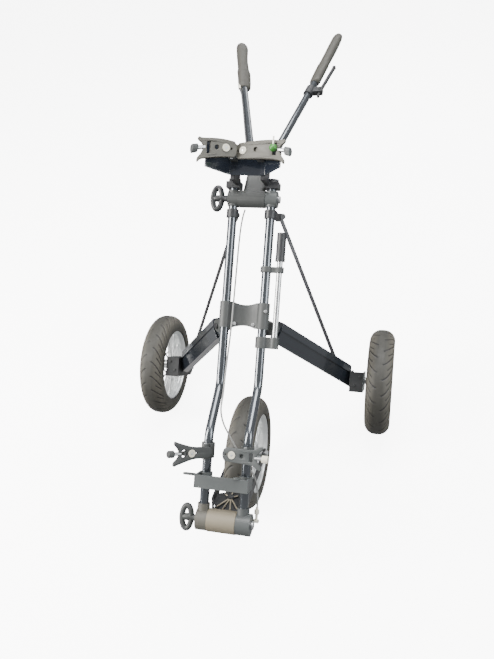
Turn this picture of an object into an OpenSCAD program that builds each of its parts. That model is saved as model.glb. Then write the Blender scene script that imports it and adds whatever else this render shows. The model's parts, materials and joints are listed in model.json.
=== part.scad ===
// Three wheeled golf push cart, standing with the rear legs open and the front wheel folded back.
// The main frame is drawn upright in its own axes, then leant back onto its wheels:
// x is to the side, y is behind the frame, z runs up the main tubes, zero is the mid bracket.

/* [Stance] */
// Lean of the main tubes from upright, in degrees
lean = 45; // [42:1:47]
// Distance from the origin forward to the mid bracket
frame_fwd = 202; // [150:1:250]

/* [Main tubes] */
// Outer diameter of the main tubes
tube_d = 22; // [20:0.5:24]
// Wall of the main tubes
tube_wall = 1.6; // [1.2:0.1:2.5]
// Distance between the centres of the two main tubes
tube_gap = 96; // [92:1:104]
// Step towards the front that the lower half of the tubes takes
tube_step = 68; // [60:1:74]
// Distance below the mid bracket where the step starts
step_from = 174; // [160:1:185]
// Distance below the mid bracket where the step ends
step_to = 285; // [275:1:300]

/* [Hinges] */
// Height of the handle hinge above the mid bracket
upper_hinge = 287; // [280:1:292]
// Depth of the fork hinge below the mid bracket
lower_hinge = 490; // [480:1:495]
// Diameter of the handle hinge barrel
upper_barrel_d = 42; // [38:1:44]
// Diameter of the fork hinge barrel
lower_barrel_d = 54; // [48:1:58]
// Lean of the handle behind the main tubes, in degrees
handle_lean = 31; // [25:1:35]
// Turn of the two handle arms about their stem, in degrees
handle_turn = 4; // [0:1:5]

/* [Wheels] */
// Outer diameter of every tyre
wheel_d = 305; // [290:1:320]
// Width of every tyre
tyre_w = 72; // [64:1:73]
// Outer diameter of every rim
rim_d = 213; // [205:1:220]
// Distance between the mid planes of the two rear wheels
track = 662; // [650:1:680]
// Distance of the rear axles behind the main tubes
rear_back = 384; // [375:1:390]
// Distance of the rear axles down from the mid bracket
rear_down = 156; // [150:1:160]
// Distance of the front axle down from the mid bracket, with the fork folded
front_down = 365; // [360:1:370]
// Diameter of every axle
axle_d = 12; // [10:1:12]

/* [Rear legs] */
// Height of the leg extrusion
leg_h = 54; // [48:1:56]
// Thickness of the leg extrusion
leg_t = 26; // [24:1:28]
// Angle that a leg turns through as it folds, in degrees
leg_fold = 46; // [40:1:48]
// Height of the stay pivots above the mid bracket
stay_up = 262; // [258:1:264]

/* [Hidden] */
$fn = 48;
tube_r = tube_d / 2;
tube_x = tube_gap / 2;
wheel_r = wheel_d / 2;
axle_r = axle_d / 2;
fit = 0.05;            // running clearance on a radius
gap = 0.4;             // side clearance between moving faces
sleeve_r = tube_r + 4; // outer radius of everything that is clamped round a tube
sides = [-1, 1];
far = 400;

frame_up = wheel_r + rear_back * sin(lean) + rear_down * cos(lean);
front_back = rear_back + (rear_down - front_down) * cos(lean) / sin(lean);
axle_x = track / 2;
tube_top = 330;
tube_end = lower_hinge - 12;
bend_r = 60;
step_angle = atan2(tube_step, step_to - step_from);
bend_cut = bend_r * tan(step_angle / 2);

// Rear leg: pin axis, leg direction and the direction across its height, on the right side
pin_tilt = 104;
pin_turn = -38;
leg_angle = 70.5;
leg_root = [64, 30, -27];
pin_u = [cos(pin_tilt) * cos(pin_turn), cos(pin_tilt) * sin(pin_turn), -sin(pin_tilt)];
pin_v = [-sin(pin_turn), cos(pin_turn), 0];
pin_axis = [sin(pin_tilt) * cos(pin_turn), sin(pin_tilt) * sin(pin_turn), cos(pin_tilt)];
leg_dir = pin_u * cos(leg_angle) + pin_v * sin(leg_angle);
leg_up = pin_v * cos(leg_angle) - pin_u * sin(leg_angle);
shoe_x = 250;      // inner face of the axle shoe
shoe_w = 38;       // width of the axle shoe

// Stay: from the collar on the main tubes to the back of the leg
function unit(v) = v / norm(v);
function spun(v, k, t) = v * cos(t) + cross(k, v) * sin(t) + k * (k * v) * (1 - cos(t));
stay_top = [57, 80, stay_up];
stay_foot = leg_root + leg_dir * 286 + leg_up * 22 - pin_axis * 19;
stay_len = norm(stay_foot - stay_top);
foot_folded = leg_root + spun(stay_foot - leg_root, pin_axis, -leg_fold);
fold_across = [foot_folded.x - stay_top.x, foot_folded.y - stay_top.y];
collar_z = foot_folded.z + sqrt(stay_len * stay_len - fold_across * fold_across);
stay_open = unit(stay_foot - stay_top);
stay_shut = unit(foot_folded - [stay_top.x, stay_top.y, collar_z]);
stay_axis = unit(cross(stay_shut, stay_open));

fork_back = front_back + tube_step;
fork_drop = lower_hinge - front_down;
fork_len = norm([fork_back, fork_drop]);
fork_angle = atan2(fork_drop, fork_back);

// Brake cable, from under the handle hinge to the adjuster beside the fork
cable_r = 2.2;
cable_route = [
    [-18, 4, 261], [-20, -6, 240], [-22, -13, 200], [-24, -15, 120], [-25, -16, 40], [-26, -16, -20],
    [-28, -15, -60], [-31, -14, -110], [-33, -15, -150], [-33, -22, -195], [-32, -36, -232],
    [-22, -44, -262], [-4, -47, -290], [16, -46, -320], [38, -42, -350], [60, -40, -378],
    [70, -40, -402], [75, -43, -430], [76, -46, -452]
];

// ---------------------------------------------------------------- places

// The leant frame's own axes
module on_frame() {
    translate([0, -frame_fwd, frame_up]) rotate([-lean, 0, 0]) children();
}

// The right hand shape, or its mirror image on the left
module on_side(side) {
    mirror([side < 0 ? 1 : 0, 0, 0]) children();
}

// Axes with x along one direction and z along another, at a point
module placed(at, x_dir, z_dir) {
    y_dir = cross(z_dir, x_dir);
    multmatrix([
        [x_dir.x, y_dir.x, z_dir.x, at.x],
        [x_dir.y, y_dir.y, z_dir.y, at.y],
        [x_dir.z, y_dir.z, z_dir.z, at.z],
        [0, 0, 0, 1]
    ]) children();
}

// The handle's axes: z runs up the handle from its hinge
module on_handle() {
    on_frame() translate([0, 0, upper_hinge]) rotate([-handle_lean, 0, 0]) children();
}

// The fork's axes: y runs from the hinge to the front axle
module on_fork() {
    on_frame() translate([0, -tube_step, -lower_hinge]) rotate([fork_angle, 0, 0]) children();
}

// ---------------------------------------------------------------- shared shapes

// Round bar along x between two places
module x_rod(r, from, to) {
    translate([from, 0, 0]) rotate([0, 90, 0]) cylinder(r = r, h = to - from);
}

// Round bar along y between two places
module y_rod(r, from, to) {
    translate([0, to, 0]) rotate([90, 0, 0]) cylinder(r = r, h = to - from);
}

// Round bar between two points
module rod_between(a, b, r) {
    d = b - a;
    translate(a) rotate([0, acos(d.z / norm(d)), atan2(d.y, d.x)]) cylinder(r = r, h = norm(d), $fn = 16);
}

// Slot shape with round ends, along its first axis
module stadium(len, w) {
    square([len - w, w], center = true);
    for (s = sides) translate([s * (len - w) / 2, 0]) circle(d = w);
}

// One main tube's path as a solid bar: straight, a step towards the front, straight.
// Bending thins the tube a little, and each run laps into the next.
module stepped_bar(r) {
    lap = 2;
    thinned = 0.15;
    slope = [0, sin(step_angle), cos(step_angle)];
    low = [0, -tube_step, -step_to] + slope * (bend_cut - lap);
    run = norm([tube_step, step_to - step_from]) - 2 * bend_cut + 2 * lap;
    translate([0, 0, -step_from + bend_cut - lap]) cylinder(r = r, h = tube_top + step_from - bend_cut + lap);
    translate([0, -bend_r, -step_from + bend_cut]) rotate([-90, 0, 90])
        rotate_extrude(angle = step_angle) translate([bend_r, 0]) circle(r = r - thinned);
    translate(low) rotate([-step_angle, 0, 0]) cylinder(r = r - 2 * thinned, h = run);
    translate([0, -tube_step + bend_r, -step_to - bend_cut]) rotate([90, 0, -90])
        rotate_extrude(angle = step_angle) translate([bend_r, 0]) circle(r = r - thinned);
    translate([0, -tube_step, -tube_end]) cylinder(r = r, h = tube_end - step_to - bend_cut + lap);
}

module main_tube(side) {
    color("#3b424e") on_frame() translate([side * tube_x, 0, 0]) difference() {
        stepped_bar(tube_r);
        // The hinge bolt goes through both walls
        translate([0, 0, upper_hinge]) x_rod(4.3, -tube_d, tube_d);
        // The straight runs are hollow
        translate([0, 0, -step_from + bend_cut + 5]) cylinder(r = tube_r - tube_wall, h = far * 2);
        translate([0, -tube_step, -step_to - bend_cut - far - 5]) cylinder(r = tube_r - tube_wall, h = far);
    }
}

// ---------------------------------------------------------------- mid bracket

module leg_ears() {
    // Two ears that hold the leg's pin, reaching back from the sleeve
    placed(leg_root, pin_u, pin_axis) for (s = sides) translate([0, 0, s * 10.9 - 2.5]) {
        cylinder(r = 16, h = 5);
        translate([-16, -26, 0]) cube([32, 26, 5]);
    }
}

module mid_bracket() {
    color("#55555a") on_frame() difference() {
        union() {
            for (s = sides) translate([s * tube_x, 0, -32]) cylinder(r = sleeve_r, h = 64);
            // Dished web between the sleeves
            intersection() {
                translate([-40, -10, -32]) cube([80, 30, 64]);
                difference() {
                    translate([0, -72, -32]) cylinder(r = 82, h = 64, $fn = 96);
                    translate([0, -72, -33]) cylinder(r = 78, h = 66, $fn = 96);
                }
            }
            for (s = sides) on_side(s) leg_ears();
        }
        for (s = sides) translate([s * tube_x, 0, -far / 2]) cylinder(r = tube_r, h = far);
        for (s = sides) on_side(s) placed(leg_root, pin_u, pin_axis) translate([0, 0, -20])
            cylinder(r = 5, h = 40);
        // Scalloped upper and lower edges of the web
        for (s = sides) translate([0, 0, s * 98]) y_rod(72, -20, 40);
        // Screw holes
        for (x = [-24, 24]) translate([x, 0, -22]) y_rod(2.5, -10, 30);
    }
}

module bracket_screws() {
    color("#77797d") on_frame() {
        for (x = [-24, 24]) translate([x, 0, -22]) {
            y_rod(2.5, 2, 14);
            y_rod(4.5, -1, 2.2);
        }
        translate([tube_x + 8, -13, 12]) y_rod(4, -3.5, 1);
    }
}

module leg_pins() {
    color("#8a8c90") on_frame() for (s = sides) on_side(s) placed(leg_root, pin_u, pin_axis) {
        translate([0, 0, -13.4]) cylinder(r = 5, h = 26.8);
        for (k = sides) translate([0, 0, k * 15.2 - 1.8]) cylinder(r = 8, h = 3.6);
    }
}

// ---------------------------------------------------------------- hinges

// Clamp at one end of the handle hinge: a round cheek on the bolt's line, and a sleeve round the tube
module upper_clamp(side, outer) {
    color("#4b4c50") on_frame() translate([0, 0, upper_hinge]) on_side(side) difference() {
        union() {
            x_rod(upper_barrel_d / 2 - 1, 34, outer);
            translate([tube_x, 0, -19]) cylinder(r = sleeve_r, h = 38);
        }
        // Flat inner and outer faces
        translate([0, -50, -50]) cube([34, 100, 100]);
        translate([outer, -50, -50]) cube([50, 100, 100]);
        translate([tube_x, 0, -far / 2]) cylinder(r = tube_r, h = far);
        x_rod(5, 0, 2 * tube_gap);
    }
}

// One long bolt through both clamps, both tubes and the barrel between them
module upper_bolt() {
    color("#97999c") on_frame() translate([0, 0, upper_hinge]) {
        x_rod(4, -60, 64);
        x_rod(9, 63, 70);
    }
}

module lower_clamp(side, outer) {
    color(side < 0 ? "#77736f" : "#6d7480") on_frame() translate([0, -tube_step, -lower_hinge])
        on_side(side) difference() {
            union() {
                x_rod(lower_barrel_d / 2 - 1, 35, outer);
                translate([tube_x, 0, 12]) cylinder(r = sleeve_r, h = 26);
            }
            // Flat inner face, clear of the turning barrel
            translate([0, -50, -50]) cube([35, 100, 100]);
            translate([tube_x, 0, 12]) cylinder(r = tube_r, h = far);
            x_rod(5, 0, 2 * tube_gap);
        }
}

module lower_bolt() {
    color("#97999c") on_frame() translate([0, -tube_step, -lower_hinge]) {
        x_rod(5, -62, 69);
        x_rod(10, 69, 75);
    }
}

// Winged clamp knob: an open oval loop on a short shaft
module clamp_knob(from) {
    x_rod(7, from - 32, from);
    translate([from - 23, 7, 0]) rotate([90, 0, 0]) linear_extrude(14) difference() {
        rotate(90) stadium(66, 27);
        rotate(90) stadium(50, 12);
    }
}

module upper_knob() {
    color("#3d3e42") on_frame() translate([0, 0, upper_hinge]) clamp_knob(-60 - gap);
}

module lower_knob() {
    color("#6e6b68") on_frame() translate([0, -tube_step, -lower_hinge]) clamp_knob(-62 - gap);
}

// ---------------------------------------------------------------- handle

arm_root = [6, 62];
arm_knee = [101, 430];
arm_tip = [147, 640];

// The two arms stand in one plane, turned a little about the stem
module handle_axes() {
    on_handle() rotate([0, 0, -handle_turn]) children();
}

// Line of one arm as a solid bar, on the right
module arm_line() {
    rod_between([arm_root.x, 0, arm_root.y], [arm_knee.x, 0, arm_knee.y], 9.5);
}

module upper_barrel() {
    color("#5b5a5c") on_handle() difference() {
        union() {
            x_rod(upper_barrel_d / 2, -33.6, 33.6);
            // Stem that carries the two arms
            translate([-17, -11, 10]) cube([34, 22, 70]);
            for (x = [-17, 17]) translate([x, 0, 10]) cylinder(r = 11, h = 70);
            translate([0, 0, 80]) y_rod(17, -11, 11);
        }
        x_rod(4 + fit, -far / 2, far / 2);
        for (s = sides) rotate([0, 0, -handle_turn]) on_side(s) arm_line();
    }
}

module handle_tube(side) {
    color("#343a44") handle_axes() on_side(side) difference() {
        arm_line();
        // The two arms meet on the stem's mid plane
        translate([-50, -30, 40]) cube([50 + gap / 2, 60, 60]);
    }
}

module grip(side) {
    color("#2c2e31") handle_axes() on_side(side) {
        d = [arm_tip.x - arm_knee.x, 0, arm_tip.y - arm_knee.y];
        translate([arm_knee.x, 0, arm_knee.y]) rotate([0, atan2(d.x, d.z), 0]) rotate_extrude() {
            l = norm(d);
            square([15, 8]);
            square([12, l * 0.6]);
            polygon([[0, 8], [12.5, 8], [13, 40], [16.5, 100], [17, 140], [14, 175], [14.5, l - 12],
                [10, l - 2], [0, l]]);
        }
    }
}

// Clamp for the brake lever under the right grip
perch_z = 396;
perch_x = 92;

module brake_perch() {
    color("#3a3b3e") handle_axes() difference() {
        union() {
            rod_between([perch_x - 3.5, 0, perch_z - 13], [perch_x + 3.5, 0, perch_z + 13], 13.5);
            translate([perch_x + 8, -8, perch_z - 9]) cube([28, 16, 18]);
        }
        arm_line();
        translate([perch_x + 21, -4.4, perch_z - 12]) cube([20, 8.8, 24]);
        translate([perch_x + 29, 0, perch_z]) y_rod(3, -10, 10);
    }
}

module brake_lever() {
    color("#46484c") handle_axes() translate([perch_x + 29, 0, perch_z]) difference() {
        rotate([90, 0, 0]) translate([0, 0, -4]) linear_extrude(8) {
            circle(r = 5.5);
            rotate(74) translate([0, -4]) square([100, 7]);
            rotate(74) translate([100, -0.5]) circle(r = 5);
            rotate(262) translate([0, -3]) square([24, 6]);
        }
        y_rod(3 - fit, -20, 20);
    }
    color("#8a8c90") handle_axes() translate([perch_x + 29, 0, perch_z]) y_rod(3 - fit, -10, 10);
}

// ---------------------------------------------------------------- saddle and bag arms

saddle_y = -71;
saddle_low = 327;
saddle_h = 74;

module saddle() {
    color("#20242e") on_frame() translate([0, 0, saddle_low]) linear_extrude(saddle_h) polygon([
        [-90, -128], [-44, saddle_y], [44, saddle_y], [90, -128], [87, -131],
        [42, saddle_y - 4], [-42, saddle_y - 4], [-87, -131]
    ]);
}

module saddle_bracket() {
    color("#2a2b2e") on_frame() difference() {
        union() {
            translate([-66, -16, 312]) cube([132, 32, 16]);
            for (s = sides) translate([s * tube_x, 0, 312]) cylinder(r = sleeve_r, h = 24);
            for (s = sides) translate([s * 37 - 5, saddle_y, 318]) cube([10, 60, 60]);
            translate([-42, saddle_y, 330]) cube([84, 4, 40]);
        }
        for (s = sides) translate([s * tube_x, 0, 0]) cylinder(r = tube_r, h = tube_top);
        // Room for the stem of the handle to swing back
        translate([-30, -24, upper_hinge]) cube([60, 60, 20 + upper_barrel_d / 2]);
        translate([-30, -12, 300]) cube([60, 60, 60]);
    }
}

// Bag arm plate, from its knuckle outwards, with the strap slot at the outer end
module arm_plate(inner, outer, h_in, h_out, cap_at, hole_at) {
    rotate([90, 0, 0]) translate([0, 0, 8]) difference() {
        linear_extrude(7) difference() {
            polygon([[-inner, -h_in], [-inner, h_in], [outer * 0.55, h_in + 3], [outer, h_out],
                [outer - 4, h_out * 0.45], [outer - 14, 0], [outer - 4, -h_out * 0.45], [outer, -h_out],
                [outer * 0.55, -h_in - 3]]);
            translate([hole_at, 0]) circle(r = 5);
            translate([outer - 26, 0]) square([8, h_in * 1.3], center = true);
        }
    }
    // Cap on the strap's bolt
    translate([cap_at, 0, 0]) y_rod(9, -18, -14.9);
    // Strap knob in the fishtail
    translate([outer - 18, -11.5, 0]) x_rod(4, 0, 18);
    translate([outer, -11.5, 0]) x_rod(8.5, 0, 15);
}

// Knuckle of a bag arm round the pin
module arm_knuckle(h) {
    difference() {
        union() {
            translate([0, 0, -h / 2]) cylinder(r = 8, h = h);
            translate([-8, -10, -h / 2]) cube([16, 10, h]);
        }
        translate([0, 0, -h]) cylinder(r = 3.5 + fit, h = 2 * h);
    }
}

wing_z = 376;
wing_left_turn = 38;
wing_right_turn = 18;
wing_y = saddle_y - 35;
low_z = -326;
low_left_turn = 50;
low_right_turn = 8;
low_y = -tube_step - 26;

module bag_arm(side, at, turn, inner, outer, h_in, h_out, cap_at, hole_at) {
    on_frame() on_side(side) translate(at) rotate([0, 0, -turn]) difference() {
        union() {
            arm_plate(inner, outer, h_in, h_out, cap_at, hole_at);
            arm_knuckle(22);
        }
        translate([0, 0, -20]) cylinder(r = 3.5 + fit, h = 40);
    }
}

module upper_wing_left() {
    color("#7a7672") bag_arm(-1, [32, wing_y, wing_z], wing_left_turn, 5, 90, 19, 24, 22, 44);
}

module upper_wing_right() {
    color("#7a7672") bag_arm(1, [32, wing_y, wing_z], wing_right_turn, 52, 74, 19, 24, -34, -1);
}

module lower_arm_left() {
    color("#8d8a86") bag_arm(-1, [tube_x, low_y, low_z], low_left_turn, 9, 92, 13, 28, 46, 62);
}

module lower_arm_right() {
    color("#7b8087") bag_arm(1, [tube_x, low_y, low_z], low_right_turn, 50, 46, 16, 27, -27, -3);
}

// Ears above and below a knuckle, and the post behind them
module knuckle_ears(back) {
    for (s = sides) translate([0, 0, s * 14.6 - 3]) {
        cylinder(r = 8, h = 6);
        translate([-8, 0, 0]) cube([16, back, 6]);
    }
}

module arm_clamps() {
    color("#4c4c50") on_frame() difference() {
        for (s = sides) translate([s * tube_x, 0, low_z]) {
            translate([0, -tube_step, -17.6]) cylinder(r = sleeve_r + 1, h = 35.2);
            translate([0, low_y, 0]) knuckle_ears(14);
        }
        for (s = sides) translate([s * tube_x, -tube_step, -far]) cylinder(r = tube_r, h = far);
        for (s = sides) translate([s * tube_x, low_y, -far]) cylinder(r = 3.5, h = far);
    }
    color("#4c4c50") on_frame() difference() {
        for (s = sides) translate([s * 32, wing_y, wing_z]) {
            knuckle_ears(31);
            translate([-8, 25, -17.6]) cube([16, 6, 35.2]);
        }
        for (s = sides) translate([s * 32, wing_y, 0]) cylinder(r = 3.5, h = far + 100);
    }
}

module arm_pins() {
    color("#8a8c90") on_frame() for (s = sides) {
        translate([s * tube_x, low_y, low_z - 19]) cylinder(r = 3.5, h = 38);
        translate([s * 32, wing_y, wing_z - 19]) cylinder(r = 3.5, h = 38);
    }
}

// ---------------------------------------------------------------- base shelf

module shelf() {
    color("#5e646d") on_frame() {
        translate([0, 0, -408]) linear_extrude(30) difference() {
            union() {
                difference() {
                    translate([-64, -114]) square([128, 52]);
                    translate([-58, -108]) square([116, 60]);
                }
                for (s = sides) translate([s * tube_x, -tube_step]) circle(r = sleeve_r);
            }
            for (s = sides) translate([s * tube_x, -tube_step]) circle(r = tube_r);
        }
        // Floor that the bag's foot stands on
        translate([-58.5, -108.5, -408]) cube([117, 24, 5]);
        // Strap ear on the left
        translate([-78, -104, -382]) linear_extrude(4) difference() {
            stadium(32, 14);
            stadium(20, 5);
        }
        translate([36, -111, -378]) cylinder(r = 8, h = 3);
    }
}

// ---------------------------------------------------------------- umbrella holder

umb_x = 80;

module umbrella_brackets() {
    color("#303237") on_frame() difference() {
        union() {
            for (z = [108, -78]) {
                translate([tube_x, 0, z]) cylinder(r = sleeve_r, h = z > 0 ? 14 : 28);
                translate([tube_x, -7, z]) cube([umb_x - tube_x, 14, z > 0 ? 14 : 28]);
                translate([umb_x, 0, z]) cylinder(r = 11, h = z > 0 ? 14 : 28);
            }
        }
        translate([tube_x, 0, -far]) cylinder(r = tube_r, h = 2 * far);
        translate([umb_x, 0, -70]) cylinder(r = 7 + fit, h = 2 * far);
    }
}

module umbrella_tube() {
    color("#4a4f58") on_frame() translate([umb_x, 0, -70]) difference() {
        cylinder(r = 7, h = 210);
        translate([0, 0, 3]) cylinder(r = 5.6, h = 220);
    }
}

module umbrella_socket() {
    color("#303237") on_frame() translate([umb_x, 0, 136]) difference() {
        union() {
            cylinder(r = 11.5, h = 70);
            cylinder(r = 12, h = 8);
        }
        translate([0, 0, -1]) cylinder(r = 7, h = 5);
        translate([0, 0, 10]) cylinder(r = 9, h = 70);
    }
}

// ---------------------------------------------------------------- brake cable

// Point i of the route's smooth curve, with n steps to each stretch
function eased(p, q, r, s, t) =
    0.5 * (2 * q + (r - p) * t + (2 * p - 5 * q + 4 * r - s) * t * t + (3 * q - p - 3 * r + s) * t * t * t);
function smooth(pts, n) = [
    for (i = [0 : len(pts) - 2], k = [0 : n - 1])
        eased(pts[max(i - 1, 0)], pts[i], pts[i + 1], pts[min(i + 2, len(pts) - 1)], k / n),
    pts[len(pts) - 1]
];
// Direction of the curve at its point i
function heading(p, i) = unit(p[min(i + 1, len(p) - 1)] - p[max(i - 1, 0)]);

// Closed tube swept along a list of points, with 8 sides
module swept_tube(p, r) {
    m = 8;
    rings = [for (i = [0 : len(p) - 1])
        let(t = heading(p, i), a = unit(cross(t, [0, 1, 0])), b = cross(t, a))
        for (k = [0 : m - 1]) p[i] + a * r * cos(360 * k / m) + b * r * sin(360 * k / m)];
    n = len(p);
    polyhedron(rings, concat(
        [[for (k = [m - 1 : -1 : 0]) k]],
        [for (i = [0 : n - 2], k = [0 : m - 1]) [i * m + k, i * m + (k + 1) % m, (i + 1) * m + (k + 1) % m,
            (i + 1) * m + k]],
        [[for (k = [0 : m - 1]) (n - 1) * m + k]]
    ));
}

module brake_cable() {
    color("#b9bbb8") on_frame() swept_tube(smooth(cable_route, 4), cable_r);
}

module cable_adjuster() {
    color("#d8d6cf") on_frame() difference() {
        union() {
            translate([76, -46, -484]) cylinder(r = 3.4, h = 32);
            translate([76, -46, -468]) cylinder(r = 6, h = 10);
            translate([60, -52, -488]) cube([22, 12, 6]);
        }
        // Fits against the round cheek of the clamp
        translate([0, -tube_step, -lower_hinge]) x_rod(lower_barrel_d / 2 - 1, 0, 72);
    }
}

// ---------------------------------------------------------------- stays and collar

module stay_collar() {
    color("#26272b") on_frame() difference() {
        union() {
            for (s = sides) translate([s * tube_x, 0, stay_up - 22]) cylinder(r = sleeve_r, h = 20);
            for (s = sides) on_side(s) {
                translate([50, 8, stay_up - 16]) cube([12, 60, 14]);
                placed(stay_top, stay_open, stay_axis) translate([0, 0, 2.4]) cylinder(r = 7.5, h = 14);
            }
        }
        for (s = sides) translate([s * tube_x, 0, 0]) cylinder(r = tube_r + fit, h = far);
        for (s = sides) on_side(s) placed(stay_top, stay_open, stay_axis) translate([0, 0, 0])
            cylinder(r = 3, h = 12);
    }
}

module stay_pins() {
    color("#8a8c90") on_frame() for (s = sides) on_side(s) placed(stay_top, stay_open, stay_axis) {
        translate([0, 0, -3.4]) cylinder(r = 3, h = 15.4);
        translate([0, 0, -5.4]) cylinder(r = 6, h = 2.8);
    }
}

module stay(side) {
    color("#1f2024") on_frame() on_side(side) placed(stay_top, stay_open, stay_axis) difference() {
        union() {
            translate([0, -5, -2]) cube([stay_len, 10, 4]);
            for (x = [0, stay_len]) translate([x, 0, -2]) cylinder(r = 8, h = 4);
            translate([stay_len, 0, -3.2]) cylinder(r = 5, h = 6.4);
        }
        translate([0, 0, -5]) cylinder(r = 3 + fit, h = 10);
    }
}

// ---------------------------------------------------------------- rear legs

module leg_profile() {
    h = leg_h / 2;
    t = leg_t / 2;
    difference() {
        polygon([[-h, -t], [-h, t], [4, t], [4, t - 3.5], [8, t - 3.5], [8, t], [h, t - 6], [h, -t]]);
        translate([-h + 3, -t + 3]) square([h + 1 - 3, leg_t - 6]);
        translate([11, -t + 3]) square([h - 14, leg_t - 13]);
    }
}

module leg(side) {
    color("#1d2430") on_frame() on_side(side) difference() {
        union() {
            placed(leg_root, leg_dir, pin_axis) {
                translate([24, 0, 0]) rotate([90, 0, 90]) linear_extrude(360) leg_profile();
                translate([0, 0, -8]) cylinder(r = 15, h = 16);
                translate([0, -15, -8]) cube([48, 30, 16]);
                translate([24, -25, -11]) cube([6, 49, 17]);
            }
        }
        placed(leg_root, leg_dir, pin_axis) translate([0, 0, -20]) cylinder(r = 5 + fit, h = 40);
        translate([shoe_x, 100, -far]) cube([200, far, far]);
    }
}

// Folded steel shoe that carries the axle: a channel that is open to the back
module axle_shoe(side) {
    color("#232629") on_frame() on_side(side) difference() {
        translate([shoe_x, 0, 0]) rotate([90, 0, 90]) linear_extrude(shoe_w) {
            translate([268, -rear_down - 28]) square([rear_back - 268, 56]);
            translate([rear_back, -rear_down]) circle(r = 28);
        }
        translate([shoe_x + 3, 271, -300]) cube([shoe_w - 6, 300, 300]);
        translate([0, rear_back, -rear_down]) x_rod(axle_r, 200, far);
    }
    // Bolts in the front plate
    color("#4f5358") on_frame() on_side(side) for (p = [[262, -166], [277, -142]])
        translate([p.x, 0, p.y]) y_rod(3.6, 265.4, 268.4);
}

module axle(side) {
    color("#b4b6b6") on_frame() on_side(side) translate([0, rear_back, -rear_down]) {
        x_rod(axle_r, shoe_x - 4, axle_x + 26);
        x_rod(10, shoe_x - 9, shoe_x);
        x_rod(10, shoe_x + shoe_w, axle_x - 22 - gap);
        x_rod(9.5, axle_x + 22 + gap, axle_x + 30);
    }
}

// ---------------------------------------------------------------- fork

module fork_barrel() {
    color("#8b8680") on_fork() difference() {
        x_rod(lower_barrel_d / 2, -34.6, 34.6);
        x_rod(5 + fit, -50, 50);
    }
}

module fork_arms() {
    color("#2c2e32") on_fork() difference() {
        for (s = sides) on_side(s) translate([0, 0, -13]) linear_extrude(26) polygon([
            [22, 26], [28, 20], [34, 29], [44.5, 62], [44.5, fork_len], [39.5, fork_len],
            [39.5, 64], [28, 31]
        ]);
        x_rod(lower_barrel_d / 2, -50, 50);
        translate([0, fork_len, 0]) x_rod(axle_r, -60, 60);
    }
    color("#2c2e32") on_fork() for (s = sides) on_side(s) translate([0, fork_len, 0]) difference() {
        x_rod(15, 39.5, 44.5);
        x_rod(axle_r, 30, 60);
    }
}

module fork_web() {
    color("#45464a") on_fork() difference() {
        union() {
            translate([0, 0, -3]) linear_extrude(5) polygon([[-20, 24], [20, 24], [27, 31], [38.8, 64],
                [39.2, 68], [39.2, 92], [16, 100], [-16, 100], [-39.2, 92], [-39.2, 68],
                [-38.8, 64], [-27, 31]]);
            // Ribs that fan out from a cap, on the face that shows between the main tubes
            for (a = [-34, -12, 12, 34]) translate([0, 78, 1]) rotate([0, 0, a])
                translate([-1.5, -50, 0]) cube([3, 50, 5]);
            for (a = [-60, 0, 60]) translate([0, 78, 1]) rotate([0, 0, a])
                translate([-1.5, 0, 0]) cube([3, 19, 5]);
            translate([0, 78, 1]) cylinder(r = 8, h = 9);
        }
        x_rod(lower_barrel_d / 2, -50, 50);
    }
}

module front_axle() {
    color("#b4b6b6") on_fork() translate([0, fork_len, 0]) {
        x_rod(axle_r, -50, 50);
        for (s = sides) on_side(s) {
            x_rod(10, 44.5, 52);
            x_rod(10, 22 + gap, 39.5);
        }
    }
}

// ---------------------------------------------------------------- wheels

tyre_flat = 4;
tyre_r = tyre_w / 2 - tyre_flat;
tyre_wall = 6;

// Section of a tyre: a round casing, a little flattened across the tread
module tyre_section(r) {
    for (s = sides) translate([wheel_r - tyre_r, s * tyre_flat]) circle(r = r);
    translate([wheel_r - tyre_r - r, -tyre_flat]) square([2 * r, 2 * tyre_flat]);
}

module tyre() {
    color("#4d4c49") rotate([0, 90, 0]) rotate_extrude($fn = 96) difference() {
        intersection() {
            tyre_section(tyre_r);
            translate([rim_d / 2, -tyre_w]) square([far, 2 * tyre_w]);
        }
        tyre_section(tyre_r - tyre_wall);
    }
}

module rim() {
    color("#c9ccc8") rotate([0, 90, 0]) rotate_extrude($fn = 96) difference() {
        translate([rim_d / 2 - 10, -30]) square([10, 60]);
        translate([rim_d / 2 - 6.5, -26.5]) square([10, 53]);
    }
}

// Hub with two flanges
module hub() {
    color("#c2c5c6") difference() {
        union() {
            x_rod(14, -22, 22);
            for (s = sides) x_rod(25, s * 19 - 2.5, s * 19 + 2.5);
        }
        x_rod(axle_r + fit, -60, 60);
    }
}

// Straight spokes, in pairs, from the flanges to the rim
module spokes() {
    color("#c2c5c6") for (s = sides, i = [0 : 4], k = sides) {
        a = 72 * i + 18 * s + 8 * k;
        b = 72 * i + 18 * s + 19 * k;
        r = rim_d / 2 - 9.5;
        rod_between([s * 19, 23 * cos(a), 23 * sin(a)], [s * 8, r * cos(b), r * sin(b)], 2.4);
    }
}

module at_rear(side) {
    on_frame() translate([side * axle_x, rear_back, -rear_down]) children();
}

module at_front() {
    on_fork() translate([0, fork_len, 0]) children();
}

// ---------------------------------------------------------------- nodes

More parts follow.
